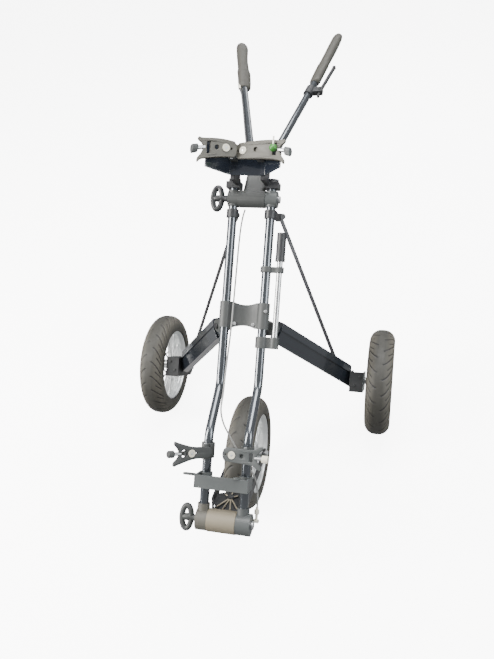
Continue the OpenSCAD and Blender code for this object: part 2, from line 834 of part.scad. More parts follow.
main_tube(-1);  // main_tube_left
main_tube(1);  // main_tube_right
mid_bracket();
bracket_screws();
leg_pins();
upper_clamp(-1, 60);  // upper_clamp_left
upper_clamp(1, 63);  // upper_clamp_right
upper_bolt();
saddle_bracket();
saddle();
lower_clamp(-1, 62);  // lower_clamp_left
lower_clamp(1, 69);  // lower_clamp_right
lower_bolt();
arm_clamps();
arm_pins();
shelf();
umbrella_brackets();
brake_cable();
cable_adjuster();
upper_knob();
lower_knob();
upper_barrel();
handle_tube(-1);  // handle_tube_left
handle_tube(1);  // handle_tube_right
grip(-1);  // grip_left
grip(1);  // grip_right
brake_perch();
brake_lever();
upper_wing_left();
upper_wing_right();
lower_arm_left();
lower_arm_right();
umbrella_tube();
umbrella_socket();
stay_collar();
stay_pins();
stay(-1);  // stay_left
stay(1);  // stay_right
leg(-1);  // leg_left
leg(1);  // leg_right
axle_shoe(-1);  // axle_shoe_left
axle_shoe(1);  // axle_shoe_right
axle(-1);  // axle_left
axle(1);  // axle_right
fork_barrel();
fork_arms();
fork_web();
front_axle();
at_rear(-1) tyre();  // tyre_left
at_rear(-1) rim();  // rim_left
at_rear(-1) hub();  // hub_left
at_rear(-1) spokes();  // spokes_left
at_rear(1) tyre();  // tyre_right
at_rear(1) rim();  // rim_right
at_rear(1) hub();  // hub_right
at_rear(1) spokes();  // spokes_right
at_front() tyre();  // tyre_front
at_front() rim();  // rim_front
at_front() hub();  // hub_front
at_front() spokes();  // spokes_front
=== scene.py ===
# %% [markdown]
# A folding three-wheeled push cart, finished for a studio picture. The engineering model
# gives every tube, hinge and wheel its real place. This lesson puts the surfaces on:
# enamel, moulded plastic, rubber, silver lacquer, and the shapes that a lathe or a mould
# would give them. Everything is in metres, in the engineering model's own frame.

# %% Load the engineering model
import json
import math
import bmesh
import bpy
import numpy as np
from mathutils import Matrix, Vector


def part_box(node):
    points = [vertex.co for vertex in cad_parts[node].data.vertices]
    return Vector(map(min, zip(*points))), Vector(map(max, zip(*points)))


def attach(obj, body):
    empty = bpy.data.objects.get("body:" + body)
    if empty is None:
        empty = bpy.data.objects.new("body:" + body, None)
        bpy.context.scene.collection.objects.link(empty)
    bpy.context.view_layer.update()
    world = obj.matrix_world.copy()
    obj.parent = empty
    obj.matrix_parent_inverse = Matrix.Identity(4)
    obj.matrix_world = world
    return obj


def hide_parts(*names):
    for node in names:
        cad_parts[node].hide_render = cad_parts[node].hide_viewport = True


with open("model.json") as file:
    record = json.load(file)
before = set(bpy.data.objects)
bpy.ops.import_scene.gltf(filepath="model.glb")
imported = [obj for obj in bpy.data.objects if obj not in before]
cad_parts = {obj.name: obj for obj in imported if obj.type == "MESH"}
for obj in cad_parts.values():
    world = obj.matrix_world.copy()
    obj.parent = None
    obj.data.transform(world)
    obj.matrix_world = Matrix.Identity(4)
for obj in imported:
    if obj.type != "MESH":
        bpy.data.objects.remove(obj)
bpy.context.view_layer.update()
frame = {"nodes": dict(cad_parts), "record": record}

# %% [markdown]
# The cart's main tubes lean back. Most parts are easiest to think about in the tubes' own
# axes: x to the side, y behind the tubes, z up along them, with zero at the mid bracket.
# Those axes are worked out from two things that the model already knows: where the handle
# turns, and the line that the collar slides along.

# %% The leaning frame's own axes
joints = {j["name"]: j for j in frame["record"]["behaviour"]["joints"]}
tube_up = -Vector(joints["collar_slide"]["axis"])
handle_pivot = Vector(joints["handle_angle"]["pos_m"])
fork_pivot = Vector(joints["fork_fold"]["pos_m"])
mid_bracket_at = handle_pivot - tube_up * 0.287


def axes(origin, x_dir, z_dir):
    """A matrix with x along one direction and z as near as it can be to another."""
    x = Vector(x_dir).normalized()
    z = (Vector(z_dir) - x * x.dot(Vector(z_dir))).normalized()
    y = z.cross(x)
    return Matrix(((x.x, y.x, z.x, origin[0]), (x.y, y.y, z.y, origin[1]),
                   (x.z, y.z, z.z, origin[2]), (0, 0, 0, 1)))


on_frame = axes(mid_bracket_at, (1, 0, 0), tube_up)


print("mid bracket at", [round(v, 4) for v in mid_bracket_at], "tubes lean",
      round(math.degrees(tube_up.angle(Vector((0, 0, 1)))), 1), "degrees")

# %% [markdown]
# The camera stands above and in front of the cart, a little to one side, at about a
# person's eye height, and is rolled a few degrees. A camera looks along its own -Z, so its
# turn is built from the direction it looks in and that roll.

# %% Camera
camera_data = bpy.data.cameras.new("studio_camera")
camera_data.lens = 35.5
camera = bpy.data.objects.new("studio_camera", camera_data)
bpy.context.scene.collection.objects.link(camera)
bpy.context.scene.camera = camera
eye = mid_bracket_at + Vector((0.3663, -1.1385, 1.0657))
look = Vector((-0.2230, 0.6970, -0.6820)).normalized()
level_right = look.cross(Vector((0, 0, 1))).normalized()
roll = math.radians(8.3)
cam_right = level_right * math.cos(roll) - level_right.cross(look) * math.sin(roll)
cam_up = cam_right.cross(look)
camera.matrix_world = Matrix((
    (cam_right.x, cam_up.x, -look.x, eye.x), (cam_right.y, cam_up.y, -look.y, eye.y),
    (cam_right.z, cam_up.z, -look.z, eye.z), (0, 0, 0, 1)))
print("camera right", [round(v, 3) for v in cam_right], "up", [round(v, 3) for v in cam_up])

# %% [markdown]
# A studio picture wants a pale sweep under the object and big soft lights. Glossy tubes
# show their lights as long stripes, so one tall narrow softbox stands to the left and a
# wide one hangs overhead. The floor isn't part of the cart.

# %% Floor and lights
floor_mesh = bpy.data.meshes.new("studio_floor")
floor_mesh.from_pydata([(-9, -9, 0), (9, -9, 0), (9, 9, 0), (-9, 9, 0)], [], [(0, 1, 2, 3)])
studio_floor = bpy.data.objects.new("studio_floor", floor_mesh)
bpy.context.scene.collection.objects.link(studio_floor)
floor_finish = bpy.data.materials.new("pale_floor")
floor_finish.use_nodes = True
floor_finish.node_tree.nodes["Principled BSDF"].inputs["Base Color"].default_value = (0.9, 0.9, 0.89, 1)
floor_finish.node_tree.nodes["Principled BSDF"].inputs["Roughness"].default_value = 0.9
floor_finish.node_tree.nodes["Principled BSDF"].inputs["Emission Color"].default_value = (1, 1, 1, 1)
floor_finish.node_tree.nodes["Principled BSDF"].inputs["Emission Strength"].default_value = 7.0
floor_mesh.materials.append(floor_finish)
studio_floor.visible_diffuse = False
studio_floor.visible_glossy = False

world = bpy.data.worlds.new("studio_air")
bpy.context.scene.world = world
world.use_nodes = True
world.node_tree.nodes["Background"].inputs["Color"].default_value = (1.0, 1.0, 1.0, 1)
world.node_tree.nodes["Background"].inputs["Strength"].default_value = 0.45


def softbox(name, at, aim, width, height, watts, tint=(1, 1, 1)):
    """A rectangular area light at a place, facing a point."""
    data = bpy.data.lights.new(name, "AREA")
    data.shape = "RECTANGLE"
    data.size, data.size_y, data.energy, data.color = width, height, watts, tint
    lamp = bpy.data.objects.new(name, data)
    lamp.location = at
    lamp.rotation_euler = (Vector(aim) - Vector(at)).to_track_quat("-Z", "Y").to_euler()
    bpy.context.scene.collection.objects.link(lamp)


softbox("overhead", (0.2, 0.4, 3.2), (0, 0, 0.4), 2.0, 2.0, 150)
softbox("tall_left", (-2.3, -1.3, 1.9), (0, 0, 0.5), 0.9, 2.4, 210, (1.0, 0.98, 0.95))
softbox("wide_right", (2.5, -0.9, 1.7), (0, 0, 0.5), 1.0, 1.8, 55, (0.93, 0.97, 1.0))
softbox("behind", (0.3, 2.6, 1.8), (0, 0, 0.5), 1.6, 1.2, 22)

# %% [markdown]
# Every finish here is layered in the same order as on a real part: a body colour that
# isn't quite even, a gloss that isn't quite even, fine relief in the surface, and rubbed
# edges. A small helper wires those layers to one shader, so that a finish is one line of
# numbers. The patterns read Object coordinates, which is the piece's own space in metres.

# %% A helper that wires one finish
finishes = {}


def finish(name, colour, spread=0.12, gloss=0.4, gloss_spread=0.08, grain=900.0, relief=0.00012,
           rubbed=0.25, metal=0.0, coat=0.0, coat_gloss=0.08, patch=14.0, dust=None):
    """A layered finish. spread is how far the colour strays, grain the relief's fineness per
    metre, relief its height in metres, and rubbed how much lighter the edges are."""
    material = bpy.data.materials.new(name)
    material.use_nodes = True
    nodes, links = material.node_tree.nodes, material.node_tree.links
    shader = nodes["Principled BSDF"]
    shader.inputs["Metallic"].default_value = metal
    shader.inputs["Coat Weight"].default_value = coat
    shader.inputs["Coat Roughness"].default_value = coat_gloss
    place = nodes.new("ShaderNodeTexCoord")

    def noise(scale, detail):
        n = nodes.new("ShaderNodeTexNoise")
        n.inputs["Scale"].default_value = scale
        n.inputs["Detail"].default_value = detail
        links.new(place.outputs["Object"], n.inputs["Vector"])
        return n.outputs["Fac"]

    def blend_colours(factor, a, b, kind="MIX"):
        m = nodes.new("ShaderNodeMix")
        m.data_type = "RGBA"
        m.blend_type = kind
        links.new(factor, m.inputs["Factor"])
        for socket, value in ((m.inputs["A"], a), (m.inputs["B"], b)):
            if isinstance(value, tuple):
                socket.default_value = (*value, 1)
            else:
                links.new(value, socket)
        return m.outputs["Result"]

    dark = tuple(c * (1 - spread) for c in colour)
    light = tuple(min(1, c * (1 + spread) + spread * 0.01) for c in colour)
    body = blend_colours(noise(patch, 4.0), dark, light)
    edge = nodes.new("ShaderNodeNewGeometry")
    worn = nodes.new("ShaderNodeMapRange")
    links.new(edge.outputs["Pointiness"], worn.inputs["Value"])
    for key, value in (("From Min", 0.52), ("From Max", 0.62), ("To Min", 0.0), ("To Max", rubbed)):
        worn.inputs[key].default_value = value
    pale = tuple(min(1, c * 1.7 + 0.05) for c in colour)
    body = blend_colours(worn.outputs["Result"], body, pale)
    if dust:
        settle = nodes.new("ShaderNodeMapRange")
        links.new(noise(38.0, 6.0), settle.inputs["Value"])
        for key, value in (("From Min", 0.48), ("From Max", 0.75), ("To Min", 0.0), ("To Max", dust[3])):
            settle.inputs[key].default_value = value
        body = blend_colours(settle.outputs["Result"], body, tuple(dust[:3]))
    links.new(body, shader.inputs["Base Color"])
    sheen = nodes.new("ShaderNodeMapRange")
    links.new(noise(patch * 2.6, 5.0), sheen.inputs["Value"])
    for key, value in (("From Min", 0.3), ("From Max", 0.7), ("To Min", gloss - gloss_spread),
                       ("To Max", gloss + gloss_spread)):
        sheen.inputs[key].default_value = max(0.02, value)
    links.new(sheen.outputs["Result"], shader.inputs["Roughness"])
    bump = nodes.new("ShaderNodeBump")
    bump.inputs["Strength"].default_value = 0.6
    bump.inputs["Distance"].default_value = relief
    links.new(noise(grain, 2.0), bump.inputs["Height"])
    links.new(bump.outputs["Normal"], shader.inputs["Normal"])
    finishes[name] = material
    return material


# %% [markdown]
# The tubes wear a glossy dark gunmetal enamel under clear lacquer, so they mirror the
# lights as hard stripes. The mouldings are a matte, lightly grained plastic: charcoal on
# the mid bracket, a warmer grey on the bag arms and hinges, and a bluish grey on the two
# right hand lower ones.

# %% Enamels, plastics and rubber
finish("gunmetal_enamel", (0.085, 0.095, 0.108), 0.12, 0.20, 0.05, 1500, 0.00003, 0.1, 0.8, 1.0, 0.05)
finish("navy_enamel", (0.012, 0.016, 0.022), 0.18, 0.20, 0.06, 1200, 0.00004, 0.2, 0.2, 1.0, 0.07)
finish("satin_black_steel", (0.024, 0.025, 0.026), 0.2, 0.38, 0.08, 1400, 0.00005, 0.45, 0.3)
finish("charcoal_plastic", (0.042, 0.045, 0.044), 0.12, 0.52, 0.07, 2600, 0.00010, 0.35)
finish("warm_grey_plastic", (0.088, 0.084, 0.070), 0.12, 0.50, 0.08, 2600, 0.00010, 0.4)
finish("pale_grey_plastic", (0.180, 0.156, 0.112), 0.12, 0.52, 0.07, 2600, 0.00010, 0.4)
finish("blue_grey_plastic", (0.064, 0.070, 0.070), 0.12, 0.42, 0.08, 2600, 0.00008, 0.4)
finish("black_plastic", (0.016, 0.017, 0.019), 0.2, 0.45, 0.1, 2400, 0.00010, 0.35)
finish("saddle_gloss", (0.012, 0.016, 0.024), 0.15, 0.20, 0.03, 900, 0.00001, 0.0, 0.0, 0.8, 0.06)
finish("grip_rubber", (0.046, 0.044, 0.037), 0.2, 0.62, 0.1, 1800, 0.00020, 0.3)
finish("silver_lacquer", (0.66, 0.68, 0.68), 0.06, 0.33, 0.06, 1200, 0.00003, 0.2, 0.55)
finish("zinc_steel", (0.50, 0.51, 0.52), 0.10, 0.34, 0.08, 1600, 0.00004, 0.3, 0.9)
finish("bright_tube", (0.46, 0.47, 0.47), 0.10, 0.22, 0.06, 1300, 0.00003, 0.2, 0.8)
finish("ivory_plastic", (0.66, 0.63, 0.52), 0.08, 0.40, 0.06, 1500, 0.00006, 0.25)
finish("cable_sleeve", (0.20, 0.20, 0.195), 0.10, 0.42, 0.06, 1800, 0.00005, 0.2)
finish("green_plastic", (0.035, 0.17, 0.025), 0.18, 0.32, 0.06, 1300, 0.00005, 0.3)
print("finishes", sorted(finishes))

# %% [markdown]
# Tyre rubber is dusty: the crown is rubbed cleaner and bluer, and the shoulders hold beige
# road dust. The grooves are painted near black, darker than the clean rubber: a painted
# shade in the cuts. The tyre's mesh carries two numbers at each point, how far across the
# tread it is and how deep in a groove, and the finish reads those, so the dust and the
# painted groove shade follow the shape of the tyre wherever it turns.

# %% Tyre rubber
tyre_rubber = finish("tyre_rubber", (0.033, 0.032, 0.027), 0.2, 0.62, 0.1, 1500, 0.00022, 0.15)
t_nodes, t_links = tyre_rubber.node_tree.nodes, tyre_rubber.node_tree.links
t_shader = t_nodes["Principled BSDF"]
clean_rubber = t_shader.inputs["Base Color"].links[0].from_socket


def point_number(name):
    n = t_nodes.new("ShaderNodeAttribute")
    n.attribute_name = name
    return n.outputs["Fac"]


def tyre_mix(factor, a, b):
    m = t_nodes.new("ShaderNodeMix")
    m.data_type = "RGBA"
    t_links.new(factor, m.inputs["Factor"])
    t_links.new(a, m.inputs["A"])
    if isinstance(b, tuple):
        m.inputs["B"].default_value = (*b, 1)
    else:
        t_links.new(b, m.inputs["B"])
    return m.outputs["Result"]


dust_ramp = t_nodes.new("ShaderNodeValToRGB")
t_links.new(point_number("across"), dust_ramp.inputs["Fac"])
dust_ramp.color_ramp.elements[0].position = 0.10
dust_ramp.color_ramp.elements[0].color = (0, 0, 0, 1)
dust_ramp.color_ramp.elements[1].position = 0.42
dust_ramp.color_ramp.elements[1].color = (0.55, 0.55, 0.55, 1)
fade = dust_ramp.color_ramp.elements.new(0.85)
fade.color = (0.12, 0.12, 0.12, 1)
dusty = tyre_mix(dust_ramp.outputs["Color"], clean_rubber, (0.150, 0.138, 0.112))
# The grooves are darkened to near black by their depth: painted shade in the cuts, darker than the clean
# rubber.
groove_painted_shade = tyre_mix(point_number("groove"), dusty, (0.006, 0.006, 0.007))
t_links.new(groove_painted_shade, t_shader.inputs["Base Color"])
print("tyre rubber reads", [n.attribute_name for n in t_nodes if n.type == "ATTRIBUTE"])

# %% [markdown]
# Real castings, mouldings and cut tubes have no razor edges. A copy of each engineering
# solid is merged back into whole faces and its sharp edges are rounded by half a
# millimetre or so, which is what catches the light along a rim. The copy stands for the
# solid in the picture, and the solid itself stays behind it for weight and contact.

# %% A helper that rounds an engineering solid's edges
body_of_node = {n: b for b, names in frame["record"]["behaviour"]["bodies"].items() for n in names}


def place_mesh(name, mesh, material):
    """A new object at the origin with this mesh and finish."""
    piece = bpy.data.objects.new(name, mesh)
    bpy.context.scene.collection.objects.link(piece)
    if material:
        mesh.materials.clear()
        mesh.materials.append(material)
    return piece


def shade(mesh, angle=34):
    """Smooth faces, with a hard line only where two faces meet at more than an angle."""
    work = bmesh.new()
    work.from_mesh(mesh)
    for face in work.faces:
        face.smooth = True
    for edge in work.edges:
        edge.smooth = len(edge.link_faces) == 2 and edge.calc_face_angle(0) < math.radians(angle)
    work.to_mesh(mesh)
    work.free()


def rounded(node, material_name, width=0.0007, segments=2):
    """Stands a copy with rounded edges in for an engineering solid."""
    source = frame["nodes"][node]
    work = bmesh.new()
    work.from_mesh(source.data)
    work.transform(source.matrix_world)
    bmesh.ops.remove_doubles(work, verts=work.verts, dist=0.00002)
    bmesh.ops.dissolve_limit(work, angle_limit=math.radians(0.6), verts=work.verts, edges=work.edges)
    sharp = [e for e in work.edges if len(e.link_faces) == 2 and e.calc_face_angle(0) > math.radians(34)]
    if width > 0:
        bmesh.ops.bevel(work, geom=sharp, offset=width, segments=segments, profile=0.5,
                        affect="EDGES", clamp_overlap=True)
    bmesh.ops.triangulate(work, faces=[f for f in work.faces if len(f.verts) > 4])
    mesh = bpy.data.meshes.new(node + "_finished")
    work.to_mesh(mesh)
    work.free()
    shade(mesh, 46)
    piece = place_mesh(node + "_finished", mesh, finishes[material_name])
    weighted = piece.modifiers.new("even_faces", "WEIGHTED_NORMAL")
    weighted.keep_sharp = True
    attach(piece, body_of_node[node])
    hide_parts(node)
    return piece


print(len(body_of_node), "engineering solids")

# %% [markdown]
# Most solids already have the right shape and only need their edges and their finish.

# %% Solids that keep their shape
for node, material_name, width in (
    ("main_tube_left", "gunmetal_enamel", 0.0004), ("main_tube_right", "gunmetal_enamel", 0.0004),
    ("mid_bracket", "charcoal_plastic", 0.0012), ("bracket_screws", "zinc_steel", 0.0005),
    ("leg_pins", "satin_black_steel", 0.0008),
    ("upper_clamp_left", "charcoal_plastic", 0.0012), ("upper_clamp_right", "blue_grey_plastic", 0.0012),
    ("upper_bolt", "zinc_steel", 0.0012), ("saddle_bracket", "black_plastic", 0.0015),
    ("lower_clamp_left", "warm_grey_plastic", 0.0015), ("lower_clamp_right", "blue_grey_plastic", 0.0015),
    ("lower_bolt", "zinc_steel", 0.001), ("arm_clamps", "charcoal_plastic", 0.001),
    ("arm_pins", "zinc_steel", 0.0004), ("shelf", "blue_grey_plastic", 0.0014),
    ("umbrella_brackets", "charcoal_plastic", 0.0009), ("brake_cable", "cable_sleeve", 0),
    ("cable_adjuster", "ivory_plastic", 0.0005),
    ("upper_barrel", "charcoal_plastic", 0.0014),
    ("handle_tube_left", "gunmetal_enamel", 0.0005), ("handle_tube_right", "gunmetal_enamel", 0.0005),
    ("brake_perch", "black_plastic", 0.0009), ("brake_lever", "satin_black_steel", 0.001),
    ("umbrella_tube", "bright_tube", 0.0004), ("umbrella_socket", "black_plastic", 0.0008),
    ("stay_collar", "black_plastic", 0.0009), ("stay_pins", "zinc_steel", 0.0006),
    ("stay_left", "satin_black_steel", 0.0006), ("stay_right", "satin_black_steel", 0.0006),
    ("leg_left", "navy_enamel", 0.0012), ("leg_right", "navy_enamel", 0.0012),
    ("axle_shoe_left", "satin_black_steel", 0.0008), ("axle_shoe_right", "satin_black_steel", 0.0008),
    ("axle_left", "zinc_steel", 0.0008), ("axle_right", "zinc_steel", 0.0008),
    ("fork_barrel", "pale_grey_plastic", 0.0015), ("fork_arms", "satin_black_steel", 0.0008),
    ("fork_web", "black_plastic", 0.0006), ("front_axle", "zinc_steel", 0.0008),
):
    rounded(node, material_name, width)

# %% [markdown]
# Spokes, nipples, flange holes and bolts all repeat round an axle. One small node tree
# does that for any seed shape: it lays down a number of points, turns a copy of the seed
# about the axle at each one, makes the copies real and gives them their finish.

# %% A node tree that repeats a seed round an axle
def ring_tree():
    tree = bpy.data.node_groups.new("repeat_round_axle", "GeometryNodeTree")
    face = tree.interface
    face.new_socket("Geometry", in_out="INPUT", socket_type="NodeSocketGeometry")
    face.new_socket("Count", in_out="INPUT", socket_type="NodeSocketInt")
    face.new_socket("First turn", in_out="INPUT", socket_type="NodeSocketFloat")
    face.new_socket("Finish", in_out="INPUT", socket_type="NodeSocketMaterial")
    face.new_socket("Geometry", in_out="OUTPUT", socket_type="NodeSocketGeometry")
    new, link = tree.nodes.new, tree.links.new
    given, result = new("NodeGroupInput"), new("NodeGroupOutput")
    points = new("GeometryNodePoints")
    link(given.outputs["Count"], points.inputs["Count"])
    step = new("ShaderNodeMath")
    step.operation = "DIVIDE"
    step.inputs[0].default_value = math.tau
    link(given.outputs["Count"], step.inputs[1])
    turn = new("ShaderNodeMath")
    turn.operation = "MULTIPLY_ADD"
    index = new("GeometryNodeInputIndex")
    link(index.outputs[0], turn.inputs[0])
    link(step.outputs[0], turn.inputs[1])
    link(given.outputs["First turn"], turn.inputs[2])
    about = new("ShaderNodeCombineXYZ")
    link(turn.outputs[0], about.inputs["X"])
    copies = new("GeometryNodeInstanceOnPoints")
    link(points.outputs[0], copies.inputs["Points"])
    link(given.outputs["Geometry"], copies.inputs["Instance"])
    link(about.outputs[0], copies.inputs["Rotation"])
    real = new("GeometryNodeRealizeInstances")
    link(copies.outputs[0], real.inputs[0])
    coat = new("GeometryNodeSetMaterial")
    link(real.outputs[0], coat.inputs["Geometry"])
    link(given.outputs["Finish"], coat.inputs["Material"])
    link(coat.outputs[0], result.inputs[0])
    return tree


repeat_round_axle = ring_tree()


def grown(seed_mesh, tree, name, move, **values):
    """Runs a tree on a seed mesh and returns the plain mesh that comes out, moved to its place."""
    seed = bpy.data.objects.new(name + "_seed", seed_mesh)
    bpy.context.scene.collection.objects.link(seed)
    grower = seed.modifiers.new("grow", "NODES")
    grower.node_group = tree
    for item in tree.interface.items_tree:
        key = item.name.replace(" ", "_").lower()
        if item.in_out == "INPUT" and key in values:
            grower[item.identifier] = values[key]
    bpy.context.view_layer.update()
    ready = seed.evaluated_get(bpy.context.evaluated_depsgraph_get())
    mesh = bpy.data.meshes.new_from_object(ready)
    mesh.transform(move)
    bpy.data.objects.remove(seed)
    mesh.name = name
    return mesh


print("tree inputs", [i.name for i in repeat_round_axle.interface.items_tree if i.in_out == "INPUT"])

# %% [markdown]
# Turned parts come off a lathe as a profile swept round the axle. The helper below sweeps
# a closed profile, given as (along the axle, radius) in metres, round the X axis.

# %% A helper that turns a profile on the axle
def turned(profile, steps=96):
    """Closed ring from a closed profile of (x, radius)."""
    profile = np.array(profile)
    n = len(profile)
    around = np.linspace(0, math.tau, steps, endpoint=False)
    points = [(x, r * math.cos(a), r * math.sin(a)) for a in around for x, r in profile]
    faces = []
    for i in range(steps):
        j = (i + 1) % steps
        faces += [(i * n + k, i * n + (k + 1) % n, j * n + (k + 1) % n, j * n + k) for k in range(n)]
    mesh = bpy.data.meshes.new("turned")
    mesh.from_pydata(points, [], faces)
    work = bmesh.new()
    work.from_mesh(mesh)
    bmesh.ops.remove_doubles(work, verts=work.verts, dist=0.000001)
    bmesh.ops.recalc_face_normals(work, faces=work.faces)
    work.to_mesh(mesh)
    work.free()
    shade(mesh)
    return mesh


def merged(name, meshes, material=None):
    """One mesh from several, keeping their finishes."""
    work = bmesh.new()
    slots = []
    for mesh in meshes:
        start = len(work.faces)
        work.from_mesh(mesh)
        work.faces.ensure_lookup_table()
        own = [m for m in mesh.materials]
        for face in work.faces[start:]:
            coat = own[face.material_index] if own else material
            if coat not in slots:
                slots.append(coat)
            face.material_index = slots.index(coat)
    mesh = bpy.data.meshes.new(name)
    work.to_mesh(mesh)
    work.free()
    for coat in slots:
        mesh.materials.append(coat)
    return mesh


# %% [markdown]
# The tyre is a round foam-filled style casing with thin swooping grooves. Each groove
# leaves a shoulder and curls in to the crown, alternately left and right. The casing is a
# fine grid of points; each point is pushed in by how near it is to the nearest groove, so
# the grooves are real cuts that show in the outline, not only shading.

# %% The tyre casing with its grooves
wheel_radius = (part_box("tyre_left")[1][2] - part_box("tyre_left")[0][2]) / 2
tyre_half = (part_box("tyre_left")[1][0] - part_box("tyre_left")[0][0]) / 2
bead_radius = 0.1065
crown_flat = 0.004
casing_radius = tyre_half - crown_flat
groove_pairs = 22


def tyre_mesh(name, hand):
    """Casing, grooves and inner wall. hand turns the grooves' sweep one way or the other."""
    ring_r = wheel_radius - casing_radius
    bead_turn = math.pi - math.acos((ring_r - bead_radius) / casing_radius)
    across_steps, around_steps = 84, 620
    outer = []
    for k in range(across_steps + 1):
        s = -1 + 2 * k / across_steps
        turn = s * bead_turn
        x = math.sin(turn) * casing_radius + math.copysign(crown_flat, s) * min(1, abs(s) * 14)
        outer.append((x, ring_r + math.cos(turn) * casing_radius, s, math.sin(turn), math.cos(turn)))
    inner_r = casing_radius - 0.006
    inner = []
    for k in range(17):
        s = 1 - 2 * k / 16
        turn = s * (bead_turn - 0.10)
        x = math.sin(turn) * inner_r + math.copysign(crown_flat, s) * min(1, abs(s) * 8)
        inner.append((x, max(bead_radius, ring_r + math.cos(turn) * inner_r)))
    points, across, groove = [], [], []
    pitch = math.tau / groove_pairs
    for i in range(around_steps):
        a = math.tau * i / around_steps
        ca, sa = math.cos(a), math.sin(a)
        for x, r, s, nx, nr in outer:
            reach = abs(s)
            depth = 0.0
            if reach < 0.62:
                side_shift = 0 if s > 0 else pitch / 2
                curl = hand * (0.30 * (reach / 0.62) ** 1.7)
                near = (a + side_shift - curl + pitch / 2) % pitch - pitch / 2
                short = (a + side_shift - curl * 0.8 + pitch * 0.5 + pitch / 2) % pitch - pitch / 2
                gap = abs(near) * r
                half_width = 0.0010 + 0.0010 * reach
                if reach > 0.05:
                    depth = max(depth, 1 - max(0.0, (gap - half_width) / 0.0012))
                if 0.28 < reach < 0.56:
                    depth = max(depth, 1 - max(0.0, (abs(short) * r - 0.0009) / 0.0012))
                depth = max(0.0, min(1.0, depth)) * min(1, (0.62 - reach) / 0.05)
            cut = depth * 0.0019
            points.append((x - nx * cut, (r - nr * cut) * ca, (r - nr * cut) * sa))
            across.append(reach)
            groove.append(depth)
        for x, r in inner:
            points.append((x, r * ca, r * sa))
            across.append(1.0)
            groove.append(0.0)
    n = len(outer) + len(inner)
    faces = []
    for i in range(around_steps):
        j = (i + 1) % around_steps
        faces += [(i * n + k, i * n + (k + 1) % n, j * n + (k + 1) % n, j * n + k) for k in range(n)]
    mesh = bpy.data.meshes.new(name)
    mesh.from_pydata(points, [], faces)
    for key, values in (("across", across), ("groove", groove)):
        mesh.attributes.new(key, "FLOAT", "POINT").data.foreach_set("value", values)
    mesh.materials.append(tyre_rubber)
    work = bmesh.new()
    work.from_mesh(mesh)
    bmesh.ops.recalc_face_normals(work, faces=work.faces)
    work.to_mesh(mesh)
    work.free()
    mesh.shade_smooth()
    return mesh


# %% [markdown]
# The rim is a deep pressed barrel with a rolled lip at each edge. The hub is turned, with
# two flanges, and each flange throws five pairs of straight spokes out to the barrel,
# where each ends in a small nipple.

# %% Rim, hub and spokes
def rod(a, b, radius, sides=10):
    """Round bar from a to b, closed at both ends."""
    a, b = Vector(a), Vector(b)
    work = bmesh.new()
    bmesh.ops.create_cone(work, cap_ends=True, segments=sides, radius1=radius, radius2=radius,
                          depth=(b - a).length)
    turn = (b - a).to_track_quat("Z", "Y").to_matrix().to_4x4()
    work.transform(Matrix.Translation((a + b) / 2) @ turn)
    mesh = bpy.data.meshes.new("rod")
    work.to_mesh(mesh)
    work.free()
    shade(mesh)
    return mesh


def rim_mesh():
    lip = [(-0.030, 0.1062), (-0.0305, 0.1040), (-0.0295, 0.1020), (-0.0265, 0.1012), (-0.0235, 0.1000),
           (-0.021, 0.0978), (-0.016, 0.0968), (0.016, 0.0968), (0.021, 0.0978), (0.0235, 0.1000),
           (0.0265, 0.1012), (0.0295, 0.1020), (0.0305, 0.1040), (0.030, 0.1062),
           (0.027, 0.1064), (0.022, 0.1035), (0.015, 0.0992), (-0.015, 0.0992), (-0.022, 0.1035),
           (-0.027, 0.1064)]
    return turned(lip, 144)


def hub_mesh():
    body = [(-0.022, 0.00605), (-0.022, 0.0120), (-0.0215, 0.0240), (-0.0205, 0.0250), (-0.0175, 0.0250),
            (-0.0165, 0.0235), (-0.0160, 0.0160), (-0.012, 0.0138), (0.012, 0.0138), (0.0160, 0.0160),
            (0.0165, 0.0235), (0.0175, 0.0250), (0.0205, 0.0250), (0.0215, 0.0240), (0.022, 0.0120),
            (0.022, 0.00605)]
    return turned(body, 64)


def spoke_seed(side):
    """One V of two spokes from a flange to the barrel, with their nipples."""
    parts = []
    for k in (-1, 1):
        a, b = math.radians(8 * k), math.radians(19 * k)
        foot = Vector((side * 0.019, 0.0215 * math.cos(a), 0.0215 * math.sin(a)))
        tip = Vector((side * 0.008, 0.0972 * math.cos(b), 0.0972 * math.sin(b)))
        parts.append(rod(foot, tip, 0.0023, 12))
        parts.append(rod(foot.lerp(tip, 0.86), tip, 0.0033, 10))
        inside, outside = Vector((side * -0.001, 0, 0)), Vector((side * 0.0034, 0, 0))
        parts.append(rod(foot + inside, foot + outside, 0.0034, 10))
    return merged("spoke_seed", parts, finishes["silver_lacquer"])


for place, hand in (("left", 1), ("right", -1), ("front", 1)):
    low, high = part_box("tyre_" + place)
    centre = Matrix.Translation([(a + b) / 2 for a, b in zip(low, high)])
    body = body_of_node["tyre_" + place]
    casing = tyre_mesh("tyre_" + place, hand)
    casing.transform(centre)
    tyre = place_mesh("grooved_tyre_" + place, casing, None)
    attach(tyre, body)
    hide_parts("tyre_" + place)
    barrel = rim_mesh()
    barrel.transform(centre)
    rim = place_mesh("lipped_rim_" + place, barrel, finishes["silver_lacquer"])
    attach(rim, body)
    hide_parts("rim_" + place)
    tilt = math.radians(27.2 if place == "front" else -45.0)
    sets = [grown(spoke_seed(side), repeat_round_axle, "spokes", centre, count=5,
                  first_turn=math.radians(18 * side) + tilt, finish=finishes["silver_lacquer"])
            for side in (-1, 1)]
    core = hub_mesh()
    core.transform(centre)
    hub = place_mesh("turned_hub_" + place, core, finishes["silver_lacquer"])
    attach(hub, body)
    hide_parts("hub_" + place)
    spokes = place_mesh("spoke_set_" + place, merged("spoke_set_" + place, sets), None)
    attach(spokes, body)
    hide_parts("spokes_" + place)
    print(place, "wheel:", len(casing.polygons), "tyre faces,", len(spokes.data.polygons), "spoke faces")

